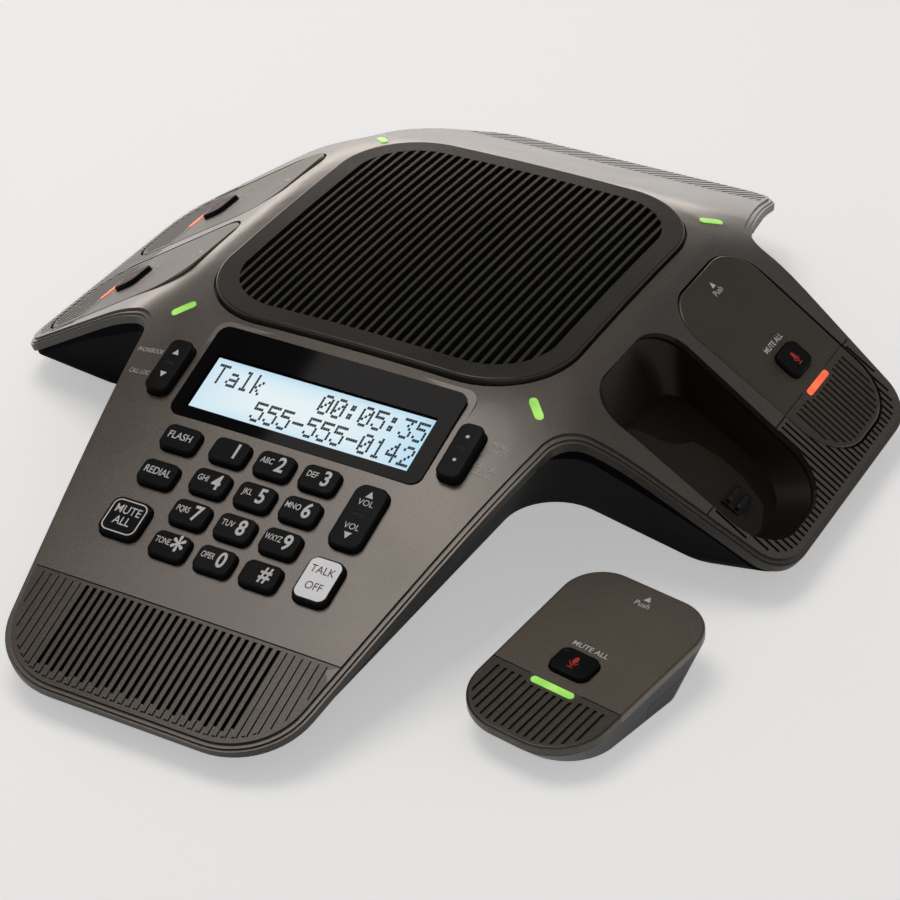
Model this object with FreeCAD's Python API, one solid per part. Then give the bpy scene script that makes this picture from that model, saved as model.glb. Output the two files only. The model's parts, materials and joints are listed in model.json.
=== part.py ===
import FreeCAD, Part
import math
import os

# Conference phone with four arms, a domed speaker grille, a keypad arm and
# four lift-out microphones.  Millimetres, +X right, -Y toward the keypad user,
# +Z up, desk at z = 0, origin under the middle of the speaker grille.

V = FreeCAD.Vector
Turn = FreeCAD.Rotation
Place = FreeCAD.Placement

# Crown of the top cover
crown_top = 63.0
crown_radius = 1270.0
cone_height = 56.0
cone_at = 97.4
cone_fall = 0.36
front_slope = 20.0
front_at = 116.2
front_height = 44.2
side_slope = 33.4
side_at = 122.1
side_height = 29.7
back_slope = 25.4
back_at = 115.0
back_height = 39.2

# Plan of the cover, each side running straight and tapering toward its tip
front_tip = 207.0
front_root_half = 77.5
side_tip = 149.2
side_root_half = 70.8
back_tip = 149.5
back_root_half = 79.0
root_at = 70.0
side_taper = 0.2
back_taper = 0.272
side_tip_round = 19.0
back_tip_round = 17.0
front_tip_round = 28.0
notch_round = 13.0
plan_high = 66.0

# Shell of the cover and of the housing
skin = 2.6
rim_depth = 4.6
rim_wall = 2.4
flange_width = 2.3
flange_drop = 0.9
edge_width = 0.9
edge_drop = 1.6
lip_gap = 0.3
lip_height = 1.3
seam_gap = 0.5
housing_set_in = 1.2
housing_wall = 2.4
floor_low = 1.5
floor_thick = 2.4
wall_top = 50.0
bottom_notch = (49.5, 32.0)
bottom_front = (45.0, 189.0)
bottom_side = (137.0, 52.0)
bottom_back = (49.0, 134.0)
bottom_tip_round = 22.0
bottom_notch_round = 19.0
upper_notch = (76.0, 70.0)
upper_front = (66.0, 320.0)
upper_side = (240.0, 92.0)
upper_back = (71.0, 168.0)
upper_tip_round = 24.0
upper_notch_round = 13.0

# Grille
grille_half = 66.5
grille_round = 30.0
grille_proud = 1.5
grille_gap = 0.9
grille_seat = 57.5
field_half = 59.3
field_round = 23.0
slot_pitch = 3.49
slot_count = 34
slot_width = 2.3
collar_half = 70.5
collar_low = 55.0
cone_hole = 39.0

# Keypad
key_pitch = 16.5
row_pitch = 12.75
key_width = 13.0
key_depth = 9.4
key_proud = 2.2
key_gap = 0.4
key_flange = 0.9
key_sink = 4.1
flange_thick = 1.1
side_column = 34.6
rocker_side = 53.9
rocker_tilt = 3.0

# Display
window_width = 92.5
window_depth = 37.7
window_thick = 1.8
window_low = 8.9
lcd_width = 84.4
lcd_depth = 26.4
lcd_middle = 23.3

# Microphones
mic_half = 25.3
mic_tip_half = 23.4
mic_in = 52.5
mic_out = 25.0
mic_in_round = 14.0
mic_out_round = 18.5
mic_thick = 13.5
mic_wedge = 4.5
mic_shell = 1.6
cover_thick = 3.0
bay_middle = 28.6
bay_gap = 0.6
bay_wall = 1.2
rib_pitch = 2.767
rib_slot = 1.1
rib_deep = 0.8
button_width = 14.0
button_depth = 10.4
button_at = 9.8
bar_width = 15.5
bar_depth = 2.4
bar_at = -1.4
contact_at = -5.5
contact_width = 9.0
contact_rise = 3.4
loose_place = V(109.0, -137.0, mic_thick * math.cos(math.radians(mic_wedge)))
loose_turn = -9.4

# Fixings
boss_round = 4.0
screw_round = 1.45
screw_clear = 0.1
head_round = 2.8
foot_round = 6.5
screw_spots = [(40, 40), (-40, 40), (40, -40), (-40, -40), (26, -178), (-26, -178), (26, 112), (-26, 112)]
foot_spots = [(26, -160), (-26, -160), (112, 28), (112, -28), (-112, 28), (-112, -28), (30, 92), (-30, 92)]
boss_low = 10.0
screw_top = 18.0
port_x = 68.0
port_y = 79.0
port_z = 46.5
port_length = 8.0
post_round = 5.2
head_seat = 5.4
foot_sink = 0.6
jack_face = 137.0
jack_plate = 5.0
jack_low = 9.6
jack_line = -16.0
jack_power = 16.0
lamp_in = 63.0
lamp_out = 69.2
lamp_width = 2.8
lamp_proud = 0.35

front_frame = Place(V(0, -front_at, front_height), Turn(V(1, 0, 0), front_slope))
side_tilt = Turn(V(1, 0, 0), side_slope)
right_frame = Place(V(side_at, 0, side_height), Turn(V(0, 0, 1), 90).multiply(side_tilt))
left_frame = Place(V(-side_at, 0, side_height), Turn(V(0, 0, 1), -90).multiply(side_tilt))
loose_frame = Place(loose_place, Turn(V(0, 0, 1), loose_turn).multiply(Turn(V(1, 0, 0), mic_wedge)))


def soft_low(a, b, width):
    near = max(width - abs(a - b), 0.0) / width
    return min(a, b) - near * near * width * 0.25


def crown(x, y):
    if y < 0:
        run = front_height - math.tan(math.radians(front_slope)) * (-y - front_at)
    else:
        run = back_height - math.tan(math.radians(back_slope)) * (y - back_at)
    side = side_height - math.tan(math.radians(side_slope)) * (abs(x) - side_at)
    cone = cone_height - cone_fall * (math.hypot(x, y) - cone_at)
    dome = crown_top - (x * x + y * y) / (2 * crown_radius)
    slopes = soft_low(run, side, 6.0)
    return soft_low(soft_low(slopes, cone, 5.0), dome, 4.0)


def steps(low, high, size):
    count = int(round((high - low) / size))
    return [low + (high - low) * i / count for i in range(count + 1)]


crown_face = None


def below(drop):
    global crown_face
    if crown_face is None:
        rows = []
        for x in steps(-165, 165, 10):
            rows.append([V(x, y, crown(x, y)) for y in steps(-220, 165, 10)])
        sheet = Part.BSplineSurface()
        sheet.interpolate(rows)
        crown_face = sheet.toShape()
    top = crown_face.copy()
    top.translate(V(0, 0, -drop))
    return top.extrude(V(0, 0, -140))


def rounded_loop(corners, rounds, z=0.0):
    count = len(corners)
    marks = []
    for i in range(count):
        here = V(corners[i][0], corners[i][1], z)
        before = V(corners[i - 1][0], corners[i - 1][1], z)
        after = V(corners[(i + 1) % count][0], corners[(i + 1) % count][1], z)
        back = before.sub(here).normalize()
        on = after.sub(here).normalize()
        half = back.getAngle(on) / 2
        reach = rounds[i] / math.tan(half)
        start = here.add(V(back).multiply(reach))
        stop = here.add(V(on).multiply(reach))
        middle = back.add(on).normalize()
        centre = here.add(V(middle).multiply(rounds[i] / math.sin(half)))
        bulge = centre.sub(V(middle).multiply(rounds[i]))
        marks.append((start, bulge, stop))
    edges = []
    for i in range(count):
        start, bulge, stop = marks[i]
        edges.append(Part.Arc(start, bulge, stop).toShape())
        edges.append(Part.makeLine(stop, marks[(i + 1) % count][0]))
    return Part.Wire(edges)


def inset_corners(corners, inset):
    """Moves every side of a polygon inward and gives the new corners."""
    count = len(corners)
    moved = []
    for i in range(count):
        here = V(corners[i][0], corners[i][1], 0)
        back = here.sub(V(corners[i - 1][0], corners[i - 1][1], 0)).normalize()
        on = V(corners[(i + 1) % count][0], corners[(i + 1) % count][1], 0).sub(here).normalize()
        side = V(-back.y, back.x, 0).add(V(-on.y, on.x, 0))
        reach = inset / (1 + back.dot(on))
        corner = here.add(side.multiply(reach))
        moved.append((corner.x, corner.y))
    return moved


def prism(loop, low, high):
    face = Part.Face(loop)
    face.translate(V(0, 0, low - loop.BoundBox.ZMin))
    return face.extrude(V(0, 0, high - low))


def slab(x, y, width, depth, rounding, low, high):
    w = width / 2.0
    d = depth / 2.0
    corners = [(x - w, y - d), (x + w, y - d), (x + w, y + d), (x - w, y + d)]
    return prism(rounded_loop(corners, [rounding] * 4), low, high)


def box(x, y, z, width, depth, height):
    return Part.makeBox(width, depth, height, V(x - width / 2.0, y - depth / 2.0, z))


def rod(x, y, radius, low, high):
    return Part.makeCylinder(radius, high - low, V(x, y, low))


def set_in(shape, frame):
    moved = shape.copy()
    moved.Placement = frame.multiply(moved.Placement)
    return moved


def plus_loop(front, notch, side, back_notch, back, rounds, inset=0.0, z=0.0):
    """Four-armed outline; each argument is the corner in the +X half, as sizes."""
    right = [(front[0], -front[1]), (notch[0], -notch[1]), (side[0], -side[1]),
             side, back_notch, back]
    left = [(-x, y) for x, y in reversed(right)]
    corners = inset_corners(right + left, inset)
    front_round, notch_radius, side_round, back_round = rounds
    half = [front_round - inset, notch_radius + inset, side_round - inset,
            side_round - inset, notch_radius + inset, back_round - inset]
    return rounded_loop(corners, half + half[::-1], z)


def cover_loop(inset, z):
    """Plan of the cover at one height: the tips lean in as the walls go down."""
    def lean(slope, height):
        return math.tan(math.radians(slope)) * (z - height)
    front = front_tip + lean(front_slope, crown(0, -front_tip))
    side = side_tip + lean(side_slope, crown(side_tip, 0))
    back = back_tip + lean(back_slope, crown(0, back_tip))
    rounds = (front_tip_round, notch_round, side_tip_round, back_tip_round)
    return plus_loop((front_root_half - side_taper * (front - root_at), front),
                     (front_root_half, side_root_half + side_taper * (root_at - front_root_half)),
                     (side, side_root_half - side_taper * (side - root_at)),
                     (back_root_half, side_root_half + side_taper * (root_at - back_root_half)),
                     (back_root_half - back_taper * (back - root_at), back),
                     rounds, inset, z)


plan_cache = {}


def cover_plan(inset):
    if inset not in plan_cache:
        loops = [cover_loop(inset, 0.0), cover_loop(inset, plan_high)]
        plan_cache[inset] = Part.makeLoft(loops, True, True)
    return plan_cache[inset].copy()


def square_well(half, rounding, low, high):
    return slab(0, 0, 2 * half, 2 * half, rounding, low, high)


def key_layout():
    layout = {}
    rows = [["1", "2", "3"], ["4", "5", "6"], ["7", "8", "9"], ["star", "0", "pound"]]
    for r, row in enumerate(rows):
        for c, name in enumerate(row):
            layout["key_" + name] = ((c - 1) * key_pitch, -r * row_pitch, key_width, key_depth, 2.6)
    layout["key_flash"] = (-side_column, -0.6, key_width, key_depth, 2.6)
    layout["key_redial"] = (-side_column, -15.1, key_width, key_depth, 2.6)
    layout["key_mute_all"] = (-35.8, -33.8, 14.4, 14.2, 3.4)
    layout["key_talk_off"] = (34.7, -33.9, 12.4, 16.6, 3.4)
    layout["rocker_volume"] = (35.2, -8.6, 11.6, 24.0, 3.6)
    layout["rocker_phonebook"] = (-rocker_side, 24.6, 8.6, 21.5, 3.0)
    layout["rocker_menu"] = (rocker_side, 24.6, 8.6, 21.5, 3.0)
    return layout


keys = key_layout()


def key_cap(x, y, width, depth, rounding):
    stem = slab(x, y, width, depth, rounding, -key_sink + 0.3, key_proud)
    rim = [e for e in stem.Edges if e.BoundBox.ZMin > key_proud - 0.01]
    stem = stem.makeFillet(0.7, rim)
    w = width + 2 * key_flange
    d = depth + 2 * key_flange - 0.2
    flange = slab(x, y, w, d, rounding, -key_sink, flange_thick - key_sink)
    return stem.fuse(flange).removeSplitter()


def rib_slots(count, pitch, width, y_low, y_high, deep):
    tools = []
    for i in range(count):
        x = (i - (count - 1) / 2.0) * pitch
        tools.append(box(x, (y_low + y_high) / 2.0, -deep, width, y_high - y_low, deep + 3))
    return Part.makeCompound(tools)


def mic_plan(grow, z=0.0):
    g = grow
    corners = [(-mic_tip_half - g, -mic_out - g), (mic_tip_half + g, -mic_out - g),
               (mic_half + g, mic_in + g), (-mic_half - g, mic_in + g)]
    rounds = [mic_out_round + g, mic_out_round + g, mic_in_round + g, mic_in_round + g]
    return rounded_loop(corners, rounds, z)


def mic_hull(grow, top=0.0):
    """Wedge body of a microphone, grown outward by a clearance."""
    g = grow
    low = [(-20.5 - g, -18 - g), (20.5 + g, -18 - g), (23.6 + g, 35 + g), (-23.6 - g, 35 + g)]
    base = rounded_loop(low, [18.0 + g, 18.0 + g, 8.0 + g, 8.0 + g])
    base.rotate(V(0, 0, 0), V(1, 0, 0), -mic_wedge)
    base.translate(V(0, 0, -mic_thick - g))
    hull = Part.makeLoft([base, mic_plan(g, top)], True, True)
    return hull


def bay_spot(side, frame):
    return frame.multiply(Place(V(side * bay_middle, 0, 0), Turn()))


bay_frames = {
    "bay_1": bay_spot(1, right_frame),
    "bay_0": bay_spot(-1, right_frame),
    "bay_2": bay_spot(1, left_frame),
    "bay_3": bay_spot(-1, left_frame),
}
mic_frames = {
    "mic_1": bay_frames["bay_1"],
    "mic_2": bay_frames["bay_2"],
    "mic_3": bay_frames["bay_3"],
    "mic_4": loose_frame,
}


def lamp_bar(sx, sy, width, start, stop, low, high):
    length = (stop - start) * math.sqrt(2)
    bar = slab(length / 2.0, 0, length, width, width / 2.0 - 0.01, low, high)
    bar.rotate(V(0, 0, 0), V(0, 0, 1), math.degrees(math.atan2(sy, sx)))
    bar.translate(V(sx * start, sy * start, 0))
    return bar


def top_cover():
    plan = cover_plan(0)
    shell = plan.common(below(0))
    shell = shell.cut(cover_plan(rim_wall).common(below(skin)))
    shell = shell.cut(below(rim_depth))
    shell = shell.cut(plan.cut(cover_plan(flange_width)).cut(below(flange_drop)))
    shell = shell.cut(plan.cut(cover_plan(edge_width)).cut(below(edge_drop)))
    collar = square_well(collar_half, grille_round + collar_half - grille_half, collar_low, 70)
    collar = collar.common(below(1.0))
    window_y = window_low + window_depth / 2.0
    pad = set_in(slab(0, window_y, window_width + 5, window_depth + 5, 5, -4.0, -1.2), front_frame)
    bosses = []
    for x, y in screw_spots:
        top = collar_low + 0.5 if abs(y) < collar_half else crown(x, y) - skin + 0.4
        bosses.append(rod(x, y, boss_round, boss_low, top))
    shell = shell.fuse([collar, pad] + bosses)
    well = square_well(grille_half + grille_gap, grille_round + grille_gap, grille_seat, 90)
    tools = [well, rod(0, 0, cone_hole, 50, 70)]
    for x, y in screw_spots:
        tools.append(rod(x, y, screw_round + screw_clear, boss_low - 1, screw_top + 1))
    for name, (x, y, w, d, r) in keys.items():
        opening = slab(x, y, w + 2 * key_gap, d + 2 * key_gap, r + key_gap, -9, 6)
        tools.append(set_in(opening, front_frame))
        reach = 2 * (key_flange + key_gap)
        room = flange_thick - key_sink + key_gap
        if name.startswith("rocker"):
            room += (d / 2.0 + key_flange) * math.sin(math.radians(rocker_tilt))
        tools.append(set_in(slab(x, y, w + reach, d + reach, r, -9, room), front_frame))
    seat = slab(0, window_y, window_width + 0.4, window_depth + 0.4, 4.2, -window_thick, 6)
    tools.append(set_in(seat, front_frame))
    tools.append(set_in(slab(0, lcd_middle, lcd_width + 0.6, lcd_depth + 0.6, 1.0, -12, 6), front_frame))
    for frame in bay_frames.values():
        tools.append(set_in(prism(mic_plan(bay_gap + 0.1), -30, 8), frame))
    for sx in (-1, 1):
        for sy in (-1, 1):
            tools.append(lamp_bar(sx, sy, lamp_width + 0.3, lamp_in, lamp_out, 45, 75))
            port = slab(0, 0, 1.6, port_length, 0.7, 0, 12)
            port = set_in(port, Place(V(sx * port_x, sy * port_y, port_z), Turn(V(0, 1, 0), sx * 90)))
            tools.append(port)
    return shell.cut(tools)


def speaker_grille():
    top = Part.makeSphere(crown_radius, V(0, 0, crown_top + grille_proud - crown_radius), V(0, 0, 1), 80, 90, 360)
    plate = square_well(grille_half, grille_round, grille_seat + 0.05, 80)
    ball = Part.makeSphere(crown_radius, V(0, 0, crown_top + grille_proud - crown_radius))
    plate = plate.common(ball)
    rim = [e for e in plate.Edges if e.BoundBox.ZMin > grille_seat + 1.0]
    plate = plate.makeFillet(0.8, rim)
    plate = plate.cut(square_well(field_half, field_round, 50, 60.2))
    field = square_well(field_half - 0.4, field_round, 50, 80)
    bars = []
    for i in range(slot_count):
        x = (i - (slot_count - 1) / 2.0) * slot_pitch
        bars.append(box(x, 0, 55, slot_width, 2 * field_half + 4, 15))
    slots = Part.makeCompound(bars).common(field)
    return plate.cut(slots)


def speaker_driver():
    ring = rod(0, 0, 46, 51, 54.9).cut(rod(0, 0, cone_hole, 50, 56))
    shell = Part.makeCone(22, 42, 17, V(0, 0, 34)).cut(Part.makeCone(20, 40, 17.2, V(0, 0, 34)))
    body = ring.fuse([shell, rod(0, 0, 27, 24, 34), rod(0, 0, 23, 33.5, 35.5)])
    return body.cut(rod(0, 0, 6, 20, 40))


def speaker_cone():
    outer = Part.makeCone(13, 37, 15, V(0, 0, 39))
    inner = Part.makeCone(12, 36, 15, V(0, 0, 40))
    cap = Part.makeSphere(14, V(0, 0, 33)).common(rod(0, 0, 13.2, 39.2, 60))
    roll = Part.makeTorus(37.2, 1.4, V(0, 0, 53.2))
    return outer.cut(inner).fuse([cap, roll])


def display_window():
    y = window_low + window_depth / 2.0
    plate = slab(0, y, window_width, window_depth, 4.0, -window_thick + 0.05, 0.0)
    return set_in(plate, front_frame)


def lcd_module():
    face = slab(0, lcd_middle, lcd_width, lcd_depth, 0.8, -4.5, -window_thick - 0.15)
    body = slab(0, lcd_middle, 90, 33, 1.5, -9.2, -4.2)
    return set_in(face.fuse(body), front_frame)


def keypad_mat():
    sheet = slab(0, -21.5, 92, 54, 3, -7.0, -5.9)
    for side in (-1, 1):
        sheet = sheet.fuse(slab(side * 52.5, 12, 13, 50, 2, -7.0, -5.9))
    domes = []
    for x, y, w, d, r in keys.values():
        domes.append(Part.makeCone(3.4, 2.4, 0.75, V(x, y, -5.95)))
    return set_in(sheet.fuse(domes).removeSplitter(), front_frame)


def main_board():
    sheet = slab(0, -21.5, 90, 52, 2, -9.2, -7.6)
    chips = [box(-20, -14, -11.2, 16, 16, 2.1), box(14, -20, -10.8, 12, 10, 1.7), box(30, -34, -14, 10, 12, 4.9)]
    return set_in(sheet.fuse(chips), front_frame)


def mic_pocket(grow, top):
    """Room round a microphone: straight beside its cover, wedge-shaped below."""
    split = -cover_thick - 0.3
    return mic_hull(grow, split).fuse(prism(mic_plan(grow), split, top))


def mic_bays(frame, first, second):
    tubs = []
    for name in (first, second):
        tub = mic_pocket(bay_gap + bay_wall, -1.0).cut(mic_pocket(bay_gap, 0.2))
        tubs.append(set_in(tub, bay_frames[name]))
    rows = []
    for tub in tubs:
        rows.append(tub.common(below(skin + 0.2)))
    bridge = set_in(box(0, 20, -8.0, 2 * bay_middle - 2 * mic_half, 30, 2.4), frame)
    for name in (first, second):
        bridge = bridge.cut(set_in(mic_pocket(bay_gap, 0.2), bay_frames[name]))
    return rows[0].fuse([rows[1], bridge])


def contact_spot():
    foot = box(0, contact_at, -mic_thick - bay_gap, contact_width + 2, 7.0, 1.6)
    tabs = []
    for y in (contact_at - 1.9, contact_at + 1.9):
        tab = slab(0, 0, contact_width, contact_width, 3.0, -0.75, 0.75)
        tab.rotate(V(0, 0, 0), V(1, 0, 0), 90)
        tab.translate(V(0, y, contact_rise - mic_thick - contact_width / 2.0))
        tabs.append(tab)
    return foot.fuse(tabs)


def charge_contacts():
    floor_plane = box(0, 0, -40, 80, 100, 40)
    floor_plane.rotate(V(0, 0, 0), V(1, 0, 0), -mic_wedge)
    floor_plane.translate(V(0, 0, -mic_thick - bay_gap))
    blocks = []
    for frame in bay_frames.values():
        blocks.append(set_in(contact_spot().cut(floor_plane), frame))
    return Part.makeCompound(blocks)


def status_lights():
    bars = []
    for sx in (-1, 1):
        for sy in (-1, 1):
            bar = lamp_bar(sx, sy, lamp_width, lamp_in + 0.1, lamp_out - 0.1, 45, 75)
            bar = bar.common(below(-lamp_proud))
            bars.append(bar.cut(below(5.0)))
    return Part.makeCompound(bars)


def base_microphones():
    pods = []
    for sx in (-1, 1):
        for sy in (-1, 1):
            pods.append(box(sx * (port_x - 2.0), sy * port_y, port_z - 2.5, 3.6, 7.0, 5.0))
    return Part.makeCompound(pods)


def housing_screws():
    parts = []
    for x, y in screw_spots:
        head = rod(x, y, head_round, head_seat - 2, head_seat)
        head = head.cut(box(x, y, head_seat - 2.4, 0.8, 3.6, 1.4)).cut(box(x, y, head_seat - 2.4, 3.6, 0.8, 1.4))
        parts.append(head.fuse(rod(x, y, screw_round, head_seat - 0.1, screw_top)).removeSplitter())
    return Part.makeCompound(parts)


def rubber_feet():
    pads = []
    for x, y in foot_spots:
        pads.append(rod(x, y, foot_round, 0.0, floor_low + foot_sink - 0.05))
    return Part.makeCompound(pads)


def housing_body(inset, low):
    base = plus_loop(bottom_front, bottom_notch, bottom_side, bottom_notch, bottom_back,
                     (bottom_tip_round, bottom_notch_round, bottom_tip_round, bottom_tip_round),
                     inset, low)
    top = plus_loop(upper_front, upper_notch, upper_side, upper_notch, upper_back,
                    (upper_tip_round, upper_notch_round, upper_tip_round, upper_tip_round),
                    inset, wall_top)
    return Part.makeLoft([base, top], True, True)


def bottom_housing():
    top = below(rim_depth + seam_gap)
    wall_inset = housing_set_in + housing_wall
    outer = housing_body(0, floor_low).common(cover_plan(housing_set_in)).common(top)
    inner = housing_body(housing_wall, floor_low).common(cover_plan(wall_inset))
    inner = inner.cut(Part.makeBox(400, 500, floor_low + floor_thick + 10, V(-200, -250, -10)))
    shell = outer.cut(inner)
    lip = cover_plan(rim_wall + lip_gap).cut(cover_plan(wall_inset))
    lip = lip.common(below(rim_depth - lip_height)).cut(below(rim_depth + 3.0))
    jack_wall = box(0, jack_face - jack_plate, floor_low + 0.5, 56, jack_plate + 3, 15.5)
    jack_wall.translate(V(0, (jack_plate + 3) / 2.0, 0))
    posts = [rod(x, y, post_round, floor_low + 0.5, boss_low) for x, y in screw_spots]
    shell = shell.fuse([lip, jack_wall.common(housing_body(0.5, floor_low))] + posts)
    tools = [box(0, jack_face + 15, jack_low - 5.6, 52, 30, 12.6)]
    for x, y in screw_spots:
        tools.append(rod(x, y, head_round + 0.25, 0, head_seat))
        tools.append(rod(x, y, screw_round + 0.25, 0, boss_low + 1))
    for x, y in foot_spots:
        tools.append(rod(x, y, foot_round + 0.05, 0, floor_low + foot_sink))
    tools.append(box(jack_line, jack_face - 4, jack_low - 4.2, 12.6, 12, 8.4))
    tools.append(Part.makeCylinder(4.3, 12, V(jack_power, jack_face - 10, jack_low), V(0, 1, 0)))
    return shell.cut(tools)


def cable_jacks():
    back = jack_face - jack_plate - 0.1
    line = box(jack_line, back - 4, jack_low - 5.0, 14.6, 8.0, 10.0)
    line = line.fuse(box(jack_line, back - 1, jack_low - 4.1, 12.4, 2 * jack_plate - 0.4, 8.2))
    line = line.cut(box(jack_line, back + 2, jack_low - 3.2, 10.2, 12.0, 6.4))
    power = box(jack_power, back - 4, jack_low - 5.0, 10.8, 8.0, 10.0)
    power = power.fuse(Part.makeCylinder(4.2, jack_plate + 1, V(jack_power, back - 1, jack_low), V(0, 1, 0)))
    power = power.cut(Part.makeCylinder(3.0, 12, V(jack_power, back - 5, jack_low), V(0, 1, 0)))
    pin = Part.makeCylinder(0.9, 8, V(jack_power, back - 6, jack_low), V(0, 1, 0))
    return Part.makeCompound([line, power.fuse(pin)])


def mic_cover():
    body = prism(mic_plan(0), -cover_thick, 0.0)
    rim = [e for e in body.Edges if e.BoundBox.ZMin > -0.01]
    body = body.makeFillet(0.9, rim)
    hollow = prism(mic_plan(-1.4), -cover_thick - 1, -1.5)
    body = body.cut(hollow)
    seat = slab(0, bar_at, bar_width + 4, bar_depth + 3, 1.5, -cover_thick + 0.2, -1.2)
    body = body.fuse(seat)
    ribs = rib_slots(15, rib_pitch, rib_slot, -mic_out + 2.2, -2.2, rib_deep)
    ribs = ribs.common(prism(mic_plan(-1.8), -5, 5))
    ribs = ribs.cut(slab(0, bar_at, bar_width + 2.4, bar_depth + 2.4, 1.5, -5, 5))
    seam = box(0, 0.3, -0.45, 80, 0.45, 3).cut(slab(0, 2.0, 19, 6.4, 1.0, -5, 5))
    tools = [ribs, seam]
    tools.append(slab(0, button_at, button_width + 0.8, button_depth + 0.8, 3.4, -9, 5))
    tools.append(slab(0, bar_at, bar_width + 0.1, bar_depth + 0.1, 1.2, -1.9, 5))
    return body.cut(tools)


def mic_case():
    outer = mic_hull(-0.15, -cover_thick - 0.3)
    outer = outer.cut(box(0, 0, -cover_thick - 0.15, 90, 140, 20))
    inner = mic_hull(-mic_shell, -cover_thick + 2.0)
    case = outer.cut(inner)
    case = case.cut(door_slab(0.15))
    case = case.fuse(box(0, contact_at, -mic_thick + 0.9, contact_width + 6, 11, 4.4).common(mic_hull(-0.5)))
    case = case.cut(box(0, contact_at, -mic_thick - 4, contact_width + 3, 8, contact_rise + 4.9))
    slots = []
    for i in range(5):
        bar = box(-19 + 4.6 * i, -mic_out + 1.0, -12.6, 1.3, 14, 6.4)
        bar.rotate(V(-19 + 4.6 * i, -mic_out, -9), V(0, 1, 0), 24)
        slots.append(bar)
    grooves = Part.makeCompound(slots).cut(mic_hull(-1.0, -cover_thick - 0.3))
    return case.cut(grooves)


def door_slab(grow):
    g = grow
    slab_y = 15.0
    zone = box(0, 52, -30, 70, 2 * (52 - slab_y) + 2 * g, 30 - 9.2 + g)
    skin_zone = mic_hull(-0.15, -cover_thick - 0.3).cut(mic_hull(-mic_shell - 0.1, -cover_thick + 2.0))
    return zone.common(skin_zone) if grow == 0 else zone


def battery_door():
    return door_slab(0)


def mute_button():
    stem = slab(0, button_at, button_width, button_depth, 3.0, -4.4, 1.7)
    rim = [e for e in stem.Edges if e.BoundBox.ZMin > 1.69]
    stem = stem.makeFillet(0.6, rim)
    flange = slab(0, button_at, button_width + 2.2, button_depth + 2.0, 3.4, -4.9, -3.9)
    return stem.fuse(flange).removeSplitter()


def light_bar():
    return slab(0, bar_at, bar_width, bar_depth, 1.15, -1.85, 0.3)


def board_and_battery():
    board = slab(0, 14, 36, 44, 6, -8.0, -6.6)
    cells = slab(0, 20, 30, 24, 4, -12.0, -8.0)
    return board.fuse(cells)


mic_parts = {
    "cover": mic_cover,
    "case": mic_case,
    "battery_door": battery_door,
    "mute_button": mute_button,
    "light_bar": light_bar,
    "board_and_battery": board_and_battery,
}

base_parts = {
    "top_cover": top_cover,
    "bottom_housing": bottom_housing,
    "speaker_grille": speaker_grille,
    "speaker_driver": speaker_driver,
    "speaker_cone": speaker_cone,
    "display_window": display_window,
    "lcd_module": lcd_module,
    "keypad_mat": keypad_mat,
    "main_board": main_board,
    "charge_contacts": charge_contacts,
    "status_lights": status_lights,
    "base_microphones": base_microphones,
    "housing_screws": housing_screws,
    "rubber_feet": rubber_feet,
    "cable_jacks": cable_jacks,
}


def write(name, shape):
    shape.exportStep(os.path.join("parts", name + ".step"))


def main():
    os.makedirs("parts", exist_ok=True)
    for name, build in base_parts.items():
        write(name, build())
    write("right_mic_bays", mic_bays(right_frame, "bay_0", "bay_1"))
    write("left_mic_bays", mic_bays(left_frame, "bay_2", "bay_3"))
    for name, size in keys.items():
        write(name, set_in(key_cap(*size), front_frame))
    for part_name, build in mic_parts.items():
        shape = build()
        for mic, frame in mic_frames.items():
            write(mic + "_" + part_name, set_in(shape, frame))


main()
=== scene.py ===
import json
import math
import bpy
from mathutils import Matrix, Vector, geometry
from mathutils.bvhtree import BVHTree

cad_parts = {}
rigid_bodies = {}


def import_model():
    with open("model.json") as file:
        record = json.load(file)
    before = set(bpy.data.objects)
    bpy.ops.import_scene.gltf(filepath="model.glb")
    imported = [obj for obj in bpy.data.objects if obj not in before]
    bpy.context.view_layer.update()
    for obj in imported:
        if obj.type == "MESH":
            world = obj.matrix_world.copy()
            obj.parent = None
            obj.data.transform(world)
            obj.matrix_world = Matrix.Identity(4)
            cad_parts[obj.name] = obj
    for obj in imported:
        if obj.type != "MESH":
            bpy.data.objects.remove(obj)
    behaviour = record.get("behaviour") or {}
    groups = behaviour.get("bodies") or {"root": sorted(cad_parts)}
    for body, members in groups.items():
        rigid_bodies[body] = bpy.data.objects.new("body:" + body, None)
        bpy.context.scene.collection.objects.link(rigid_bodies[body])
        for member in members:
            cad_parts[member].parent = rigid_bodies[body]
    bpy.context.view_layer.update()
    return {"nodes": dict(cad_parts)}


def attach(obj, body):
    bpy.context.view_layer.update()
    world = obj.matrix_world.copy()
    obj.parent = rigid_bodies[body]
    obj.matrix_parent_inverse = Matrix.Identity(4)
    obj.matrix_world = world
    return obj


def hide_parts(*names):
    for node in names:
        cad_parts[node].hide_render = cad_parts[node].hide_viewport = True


# Conference phone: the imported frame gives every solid, this file gives the looks.

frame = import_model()
nodes = frame["nodes"]
scene = bpy.context.scene
print("Frame loaded:", len(nodes), "nodes")

# Places on the four arms

mm = 0.001


def slopePlace(x, y, z, turn, tilt):
    # A sloping face: x across it, y up it, z out of it.
    spot = Matrix.Translation((x * mm, y * mm, z * mm)) @ Matrix.Rotation(math.radians(turn), 4, "Z")
    return spot @ Matrix.Rotation(math.radians(tilt), 4, "X")


def movedAlong(place, x, y=0.0, z=0.0):
    return place @ Matrix.Translation((x * mm, y * mm, z * mm))


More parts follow.
